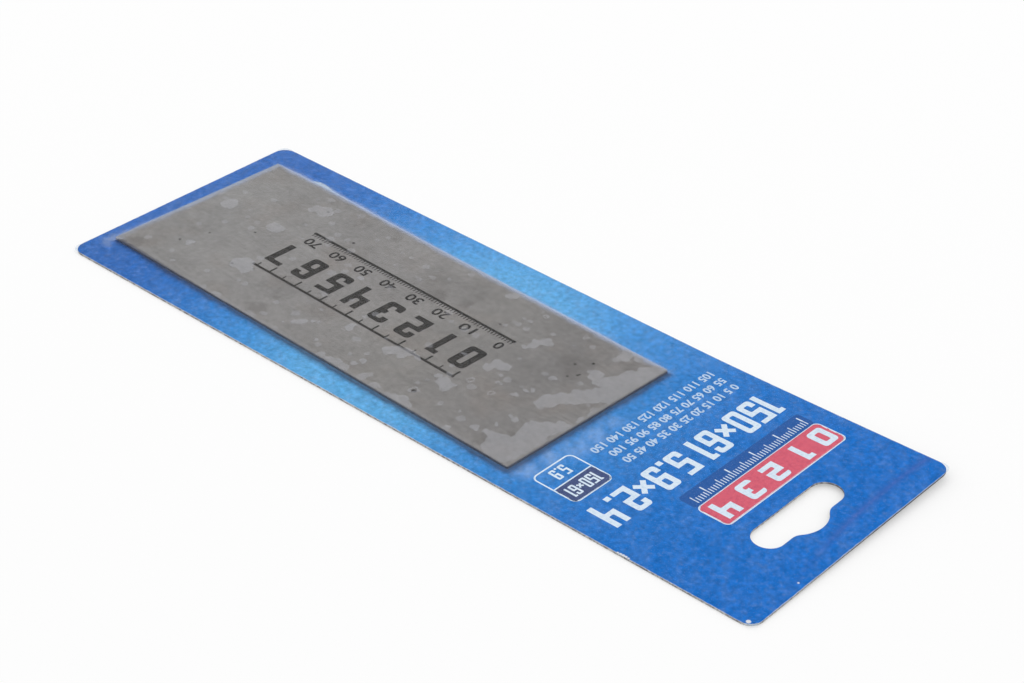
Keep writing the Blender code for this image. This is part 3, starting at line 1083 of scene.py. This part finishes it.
def tent_reach(x, y):
    """How far the tent runs out from the blade's edge at a place in blade axes, in millimetres."""
    angle = atan2(y * BLADE_WIDTH / BLADE_LENGTH, x)
    wave = 0.5 + 0.5 * sin(9.0 * angle + 1.0) * sin(23.0 * angle + 0.4)
    reach = 1.25 + 0.75 * wave + 0.25 * sin(61.0 * angle)
    if x < -BLADE_WIDTH / 2.0:
        reach += 0.35 + 1.0 * exp(-((y - BULGE_MIDDLE) / BULGE_LENGTH) ** 2)
    web_x = abs(x) - BLADE_WIDTH / 2.0 + WEB_REACH
    web_y = abs(y) - BLADE_LENGTH / 2.0 + WEB_REACH
    if web_x > 0.0 and web_y > 0.0:
        turn = atan2(web_y, web_x)
        web = abs(sin(5.0 * turn + 0.6)) ** 3
        reach += 1.5 * web * (1.0 if x > 0.0 > y else 0.2)
    return reach


def edge_distance(x, y):
    """Distance from the blade's rounded outline, in blade axes; 0 inside it."""
    px = max(abs(x) - (BLADE_WIDTH / 2.0 - BLADE_CORNER), 0.0)
    py = max(abs(y) - (BLADE_LENGTH / 2.0 - BLADE_CORNER), 0.0)
    return max(hypot(px, py) - BLADE_CORNER, 0.0)


rise = rings.vertex_groups.new(name="rise")
for vertex in rings.data.vertices:
    x, y = vertex.co.x, vertex.co.y
    share = 1.0 - edge_distance(x, y) / (tent_reach(x, y) * MM)
    rise.add([vertex.index], max(0.0, share) ** TENT_POWER, "REPLACE")
apply_modifier(rings, "DISPLACE", {"direction": "Z", "strength": FILM_ON_BLADE - FILM_ON_CARD,
                                   "mid_level": 0.0, "vertex_group": "rise"})
rings.vertex_groups.clear()
rings.rotation_euler = (0.0, 0.0, BLADE_TURN)
rings.location = BLADE_MIDDLE
bpy.ops.object.transform_apply(location=True, rotation=True, scale=True)
print("tent", [round(v / MM, 2) for v in rings.dimensions], len(rings.data.polygons), "faces")

# %% Join it to the sheet on the card
TRIM_CORNER = 2.3 * MM
SPLIT = 44.5 * MM
NEAR_SPLIT = SPLIT + 0.1 * MM
SHEET_CUTS = 80

sheet = add_sheet("film_sheet", CARD_WIDTH, CARD_LENGTH, TRIM_CORNER, 8, (0.0, 0.0, FILM_ON_CARD))
bpy.ops.mesh.bisect(plane_co=(0.0, SPLIT, 0.0), plane_no=(0.0, 1.0, 0.0))
pick("FACE", lambda f: middle(f).y < SPLIT)
bpy.ops.mesh.delete(type="ONLY_FACE")
pick("EDGE", lambda e: middle(e).y < NEAR_SPLIT and e.calc_length() > LONG_EDGE)
bpy.ops.mesh.subdivide(number_cuts=SHEET_CUTS)
bpy.ops.object.mode_set(mode="OBJECT")
film = join("drawn_film", [rings, sheet])
bpy.ops.object.mode_set(mode="EDIT")
rim = pick("EDGE", lambda e: len(e.link_faces) < 2 and middle(e).y < NEAR_SPLIT)
bpy.ops.mesh.bridge_edge_loops()
face_outwards()
bpy.ops.object.mode_set(mode="OBJECT")
flat = sum(f.area * abs(f.normal.z) for f in film.data.polygons)
whole = CARD_WIDTH * CARD_LENGTH - (4.0 - pi) * TRIM_CORNER ** 2
up = sum(f.normal.z > 0.0 for f in film.data.polygons)
print("film edges bridged", rim, "area", round(flat / MM ** 2, 1), "of", round(whole / MM ** 2, 1),
      "facing up", up, "of", len(film.data.polygons))

# %% Give the film its thickness, slot and curl
apply_modifier(film, "SOLIDIFY", {"thickness": FILM_THICKNESS, "offset": 1.0})
apply_modifier(film, "BOOLEAN", {"operation": "DIFFERENCE", "solver": "EXACT", "object": cutter})
bpy.ops.object.mode_set(mode="EDIT")
cut_rows(SPLIT + 1.0 * MM, LAST_ROW, PANEL_ROWS)
bpy.ops.object.mode_set(mode="OBJECT")
curl(film)
bpy.ops.object.shade_smooth_by_angle(angle=radians(50.0))
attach(film, "root")
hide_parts("skin_film")
bpy.data.objects.remove(cutter)
print("film", [round(v / MM, 2) for v in film.dimensions], len(film.data.polygons), "faces")

# %% [markdown]
# ### Clear film that is milky where it lifts
#
# Polyethylene film is clear where it has wetted out on what it covers, and
# milky where air lies under it. On the steel the dry places are pale islands
# with crisp, wandering edges. Each island is one or more round spots, given by
# place and size, that flow together where they meet, and two noises bend their
# coordinates. Tiny bubbles come from a Voronoi pattern.

# %% Dry islands
DRY_SPOTS = (
    (-29, 73.5, 2.6), (-25, 72.7, 3.3), (-20.5, 71.6, 4.2), (-15.5, 71, 4.6), (-10.5, 71.5, 4.2),
    (-7, 69.5, 3.2), (-4, 66.8, 3.1), (-0.8, 64.6, 3), (2.6, 63, 2.7), (4.6, 62.3, 1.8),
    (-15, 63.8, 2.3), (-13.2, 66, 1.9), (-28.5, 62.5, 1.9), (-26.2, 63.6, 1.4), (-28.9, 66, 1.3),
    (-1.5, 75, 1.5), (3, 74.8, 1.6), (8.3, 73, 2.6), (12, 71, 3.3), (13.3, 68, 2.5),
    (17, 70.6, 4.2), (22, 70.6, 4.4), (26.5, 70, 4.2), (29.8, 69.5, 3.2), (24, 65.6, 2.8),
    (23.5, 62, 1.5), (27.6, 66.2, 2.3), (14.7, 62.6, 1.2), (14.2, 60.8, 0.8), (24.3, 58.3, 1.3),
    (19, 60.6, 0.6), (-5.9, 56.6, 1.1), (1.6, 56.5, 0.8), (3.2, 55.3, 0.8), (6.7, 54.9, 1),
    (-17.3, 44.3, 1.9), (-15.6, 42.8, 1.6), (-13.2, 43, 1.4), (-11.4, 41.6, 1), (-0.5, 44.4, 1.9),
    (-0.6, 42.3, 1.8), (2.4, 41.6, 1.7), (16.3, 40.4, 1.9), (15.4, 38, 1.7), (14.4, 35.4, 1.2),
    (28.6, 36.6, 1.7), (29.4, 34.4, 1.6), (12, 21.4, 1.6), (14.2, 19.8, 2), (15.6, 18.1, 1.7),
    (23.6, 17.2, 1), (26, 16.4, 1.1), (29.4, 27.5, 1.3), (28.9, 22, 1.5), (29.3, 16, 1.6),
    (29.4, 10.5, 1.4), (-28.1, 23, 1.6), (-26.6, 21.8, 1.6), (29.6, 53.4, 1.5), (14.5, 3, 1.2),
    (22.7, -7.3, 1.3), (-4, -12, 1.1), (14, -40.6, 3.2), (15.4, -37.8, 2.3), (-21.2, -45.2, 2.7),
    (-20.6, -48.2, 2), (-5, -48.2, 2.6), (17, -58.8, 1.5), (-4.9, -67.3, 2.7), (29.9, -33, 1.4),
    (25.9, -11, 0.5), (23.7, -8.7, 0.9), (21.6, -6.7, 0.9), (20.3, -5.1, 0.8), (19.5, -3.9, 0.5),
    (15.7, 4, 1.1), (25.6, 1.5, 0.8), (29.7, 7.4, 1.4), (29.3, 12.6, 1.8), (24.1, 18, 0.5),
    (14.4, 21.7, 1.8), (12, 23.4, 1.6), (12.5, 26.1, 1.3), (30.5, 32.3, 1.4), (30.3, 37.5, 1.8),
    (29.8, 39.2, 1.4))
RING_SPOTS = ((10.4, 50.4, 0.95), (10, 42.2, 0.95), (-26.6, 50, 0.7), (-26.5, 35.8, 0.7),
              (23, 44.5, 0.8), (23.6, 35.7, 1), (6, 48, 0.3), (21.4, 50.4, 0.3))

print("dry spots", len(DRY_SPOTS), "rings", len(RING_SPOTS))

# %% Film that is dry on the steel
BENDS = ((4.0 * MM, 3.4 * MM, 1.0), (1.3 * MM, 1.7 * MM, 2.0))
ISLAND_EDGE, ISLAND_UNEVEN = (-0.12 * MM, 0.16 * MM), (0.72, 1.28)
RING_LINE = (0.42 * MM, 0.12 * MM, 0.0, 0.9)
MOTTLE_SIZE, BUBBLE_CELL = 1.8 * MM, 3.0 * MM
BUBBLE_SIZES, BUBBLE_EDGE = (-0.55, 0.03), (-0.06, 0.06, 0.0, 0.7)


def dry_share(add, flat):
    """How dry the film is on the steel: islands, rings and tiny bubbles."""
    bent = flat
    for size, push, seed in BENDS:
        wave = add("TexNoise", flat, seed, 1.0 / size, 2.0, **SEEDED)
        centred = add("VectorMath", wave.outputs["Color"], (0.5, 0.5, 0.5), operation="SUBTRACT")
        bent = add("VectorMath", centred, (push, push, 0.0), bent, operation="MULTIPLY_ADD")
    island = add("MapRange", spot_depth(add, bent, DRY_SPOTS, 0.6), *ISLAND_EDGE, **SMOOTH)
    mottle = add("TexNoise", flat, 0.0, 1.0 / MOTTLE_SIZE, 4.0, 0.6, **SEEDED)
    uneven = add("MapRange", mottle, *NOISE_RANGE, *ISLAND_UNEVEN, clamp=False)
    mottled = add("Math", island, uneven, operation="MULTIPLY")
    from_ring = add("Math", spot_depth(add, bent, RING_SPOTS, 0.1), operation="ABSOLUTE")
    ring = add("MapRange", from_ring, *RING_LINE)
    cells = add("TexVoronoi", flat, 1.0 / BUBBLE_CELL)
    chance = add("SeparateXYZ", cells.outputs["Color"]).outputs["X"]
    size = add("MapRange", chance, *NOISE_RANGE, *BUBBLE_SIZES, clamp=False)
    bubble = add("Math", size, cells.outputs["Distance"], operation="SUBTRACT")
    dot = add("MapRange", bubble, *BUBBLE_EDGE)
    most = add("Math", mottled, ring, operation="MAXIMUM")
    return add("Math", most, dot, operation="MAXIMUM")


print("bends", len(BENDS))

# %% [markdown]
# ### The tents round the blade
#
# Round the blade the film stands off as a tent. Along the two far sides, where
# it also lifts a little off the steel, it is milky bluish white, painted
# brighter there as the sheen of the far slopes. Along the two near ones, at +X
# and +Y, it carries painted shade: a dusky band beside the blade for its
# shadow and the dark under the tent, and a faint painted highlight on the
# steel just inside the edge. Each row of the two tent tables gives a distance
# from the blade's outline in millimetres, below 0 on the steel, with the film's
# tone and opacity there, and a share that turns from one side to the other
# picks between them.
#
# The tent isn't the same all along. Two more tables give, at places along the
# blade in millimetres, by how much it shifts outwards and how strong it is. A
# colour ramp holds both: the shift plus 1 as its colour, and half the strength
# as its alpha. At the corner between the far end and +X the far tent shifts
# and widens further, and at both ends the film is drawn tighter to the steel.

# %% Tents
# Painted sheen: milky film along the far sides, painted brighter bluish white.
FAR_TENT_MILK_AND_SHEEN = ((-2.7, "#C0C4D0", 0), (-2.2, "#C0C4D0", 0.035), (-1.7, "#C4CCDE", 0.09),
            (-1.2, "#C8D4EE", 0.18), (-0.7, "#CAD8F4", 0.28), (-0.2, "#C6D8F4", 0.33),
            (0.3, "#BED2F0", 0.26), (0.9, "#C4D4EE", 0.12), (1.6, "#C6D2EA", 0.04),
            (2.4, "#C6D2EA", 0))
# Painted highlight below 0, a pale band on the steel's near rim; painted shade from 0 out, a dusky
# band beside the blade's near sides.
NEAR_TENT_SHADE_AND_HIGHLIGHT = ((-1.4, "#D6D6DC", 0), (-0.7, "#D6D6DC", 0.05), (-0.1, "#D6D6DC", 0.04),
             (0.1, "#596075", 0.08), (0.5, "#5A6275", 0.24), (1, "#485068", 0.29),
             (1.5, "#424C6C", 0.15), (2.1, "#404A6C", 0.06), (2.8, "#3A4260", 0.02),
             (3.5, "#3A4260", 0))
FAR_ALONG = ((-75, 0, 0.58), (-71, 0.5, 1.35), (-61, 0.6, 1.5), (-56, 0.9, 1.5), (-42, 0.8, 1.6),
             (-36, 0.6, 1.5), (-20, 0.5, 1.35), (-8, 0, 1.1), (18, -0.05, 1.1), (30, 0.2, 1.3),
             (50, 0.2, 1.3), (60, -0.1, 1), (72.5, -0.1, 1), (75, -0.2, 0.6))
NEAR_ALONG = ((-75, -1, 0.9), (-64, -0.9, 0.9), (-52, -0.4, 1), (-36, -0.1, 1), (-14, -0.2, 1.05),
              (10, -0.14, 1.12), (36, -0.14, 1.12), (66, -0.12, 1.05), (75, 0, 1))
CORNER_SPAN, CORNER_SHIFT, CORNER_WIDTH = (2.0 * MM, 28.0 * MM), 1.35, 0.35
END_TIGHTER = {"near": 0.25 * MM, "far": 0.55 * MM}
TENT_FROM, TENT_TO = -3.0, 5.0
TENT_WAVE, TENT_WIDTHS = 5.0 * MM, (0.75, 1.27)
SIDES_BLEND = (0.2 * MM, 1.6 * MM)
STEEL_EDGE = (0.0, -0.3 * MM)


def outline_distance(add, x, y):
    """Distance outwards from the blade's outline, and how far the near sides lead the far ones."""
    past = {}
    for axis, place, half in (("X", x, BLADE_WIDTH / 2.0), ("Y", y, BLADE_LENGTH / 2.0)):
        for end, sign in (("near", 1.0), ("far", -1.0)):
            tighter = END_TIGHTER[end] if axis == "Y" else 0.0
            past[end, axis] = add("Math", place, sign, tighter - half, operation="MULTIPLY_ADD")
    pairs = ((("near", "X"), ("near", "Y")), (("far", "X"), ("far", "Y")),
             (("near", "X"), ("far", "X")), (("near", "Y"), ("far", "Y")))
    near, far, past_x, past_y = [add("Math", past[one], past[other], operation="MAXIMUM")
                                 for one, other in pairs]
    outside = add("CombineXYZ", *[add("Math", each, 0.0, operation="MAXIMUM")
                                  for each in (past_x, past_y)])
    away = add("VectorMath", outside, operation="LENGTH")
    inside = add("Math", add("Math", near, far, operation="MAXIMUM"), 0.0, operation="MINIMUM")
    return add("Math", away, inside, operation="ADD"), add("Math", near, far, operation="SUBTRACT")


def tent_layers(add, flat):
    """The tents' tone and opacity, with painted shade near and painted sheen far, and a share that is
    1 over the steel.
    """
    x, y, _ = add("SeparateXYZ", flat).outputs
    away, lead = outline_distance(add, x, y)
    wave = add("TexNoise", flat, 6.0, 1.0 / TENT_WAVE, 4.0, 0.6, **SEEDED)
    reach = add("MapRange", wave, *NOISE_RANGE, *TENT_WIDTHS, clamp=False)
    along = add("MapRange", y, -BLADE_LENGTH / 2.0, BLADE_LENGTH / 2.0)
    far_along, near_along = [
        add("ValToRGB", along, stops=[
            (0.5 + at * MM / BLADE_LENGTH, (*[shift + 1.0] * 3, strength / 2.0))
            for at, shift, strength in table])
        for table in (FAR_ALONG, NEAR_ALONG)]
    by_corner = add("MapRange", x, *CORNER_SPAN)
    far_shift = add("Math", by_corner, CORNER_SHIFT, far_along, operation="MULTIPLY_ADD")
    far_width = add("Math", by_corner, CORNER_WIDTH, 1.0, operation="MULTIPLY_ADD")
    side = add("MapRange", lead, *SIDES_BLEND, **SMOOTH)
    shift, strength, width = [
        add("Mix", side, far, near, data_type="FLOAT") for far, near in (
            (far_shift, near_along), (far_along.outputs["Alpha"], near_along.outputs["Alpha"]),
            (far_width, 1.0))]
    past_one = add("Math", away, 1.0 * MM, operation="ADD")
    drawn_off = add("Math", shift, -1.0 * MM, past_one, operation="MULTIPLY_ADD")
    wide = add("Math", width, reach, operation="MULTIPLY")
    scaled = add("Math", drawn_off, wide, operation="DIVIDE")
    place = add("MapRange", scaled, TENT_FROM * MM, TENT_TO * MM)
    span = TENT_TO - TENT_FROM
    far, near = [
        add("ValToRGB", place, stops=[((at - TENT_FROM) / span, (*colour(tone)[:3], opacity))
                                      for at, tone, opacity in tent])
        for tent in (FAR_TENT_MILK_AND_SHEEN, NEAR_TENT_SHADE_AND_HIGHLIGHT)]
    tone = add("Mix", side, far, near, data_type="RGBA")
    opacity = add("Mix", side, far.outputs["Alpha"], near.outputs["Alpha"], data_type="FLOAT")
    for factor in (2.0, strength):
        opacity = add("Math", opacity, factor, operation="MULTIPLY")
    return tone, opacity, add("MapRange", away, *STEEL_EDGE)


print("tent stops", len(FAR_TENT_MILK_AND_SHEEN), len(NEAR_TENT_SHADE_AND_HIGHLIGHT))

# %% [markdown]
# ### The film's material
#
# The bits of film past the card's rounded corners are milky as well, and so
# are a few patches where it creases at the blade's corners. A strip along the
# far tent by its bulge is milky film painted brighter, a painted highlight.
# What is white through dryness and what the tents give are laid over each other
# by taking the larger opacity, and the white's share of it mixes the two tones.
# Each row of `PATCHES` gives its spots, how softly they flow together and how
# wide the patch's soft edge is, both in millimetres, and its largest opacity.

# %% Film with dry islands, milky corners, and tents of painted shade and sheen
FLAP_MILKY, FLAP_EDGE = 0.30, 0.15 * MM
MILKY_SPOTS = ((31.9, -76, 1.1), (33.3, -75.3, 0.7), (33.9, -73.8, 0.3), (29.4, -76.8, 0.8),
               (-30.4, -75.2, 0.6))
# Painted highlight: a bright strip of milky film on the far tent by the bulge.
MILKY_HIGHLIGHT_SPOTS = ((-31.6, -60.4, 0.6), (-31.75, -59, 1.1), (-31.7, -57.4, 1.3), (-31.6, -55.8, 1.2),
               (-31.3, -54.2, 1), (-31.2, -52.4, 0.85), (-31.1, -50.4, 0.7), (-31, -48.2, 0.7),
               (-30.9, -46, 0.6))
PATCHES = ((MILKY_SPOTS, 1.2, 1.5, 0.10), (MILKY_HIGHLIGHT_SPOTS, 0.8, 0.6, 0.60))
DRY_OPACITY, CLEAR_OPACITY = 0.145, 0.012


def corner_share(add, place):
    """How milky the film is where it reaches past the card's rounded corner."""
    size = add("VectorMath", place, operation="ABSOLUTE")
    arc = (CARD_WIDTH / 2.0 - CARD_CORNER, CARD_LENGTH / 2.0 - CARD_CORNER, 0.0)
    past = add("VectorMath", size, arc, operation="SUBTRACT")
    kept = add("VectorMath", past, (0.0, 0.0, 0.0), operation="MAXIMUM")
    level = add("VectorMath", kept, (1.0, 1.0, 0.0), operation="MULTIPLY")
    away = add("VectorMath", level, operation="LENGTH")
    return add("MapRange", away, CARD_CORNER, CARD_CORNER + FLAP_EDGE, 0.0, FLAP_MILKY)


def clear_film():
    """Polyethylene skin film: clear when stuck down, milky with air under it, with painted shade and
    sheen.
    """
    material, add = new_material("polyethylene skin film")
    place = add("TexCoord").outputs["Object"]
    flat = add("VectorMath", in_blade_axes(add, place), (1.0, 1.0, 0.0), operation="MULTIPLY")
    tone, tent, over_steel = tent_layers(add, flat)
    milk_and_highlight = corner_share(add, place)
    for spots, blend, soft, most in PATCHES:
        depth = spot_depth(add, flat, spots, blend)
        patch = add("MapRange", depth, -soft * MM, 0.5 * MM, 0.0, most, **SMOOTH)
        milk_and_highlight = add("Math", milk_and_highlight, patch, operation="MAXIMUM")
    weight = add("Math", over_steel, DRY_OPACITY, operation="MULTIPLY")
    dry = add("Math", dry_share(add, flat), weight, operation="MULTIPLY")
    white = add("Math", milk_and_highlight, dry, operation="MAXIMUM")
    # The tents' opacity carries their painted shade, highlight and sheen.
    opaque = add("Math", white, tent, operation="MAXIMUM")
    alpha = add("Math", opaque, CLEAR_OPACITY, operation="MAXIMUM")
    share = add("Math", white, alpha, operation="DIVIDE", use_clamp=True)
    pale = add("Mix", over_steel, colour("#CBDDEE"), colour("#D4D5DC"), data_type="RGBA")
    seen = add("Mix", share, tone, pale, data_type="RGBA")
    shader = add("BsdfPrincipled", named={"Base Color": seen, "Alpha": alpha, "Roughness": 0.35,
                                          "IOR": 1.5})
    add("OutputMaterial", shader)
    return material


film.data.materials.clear()
film.data.materials.append(clear_film())
print("film material", film.data.materials[0].name)
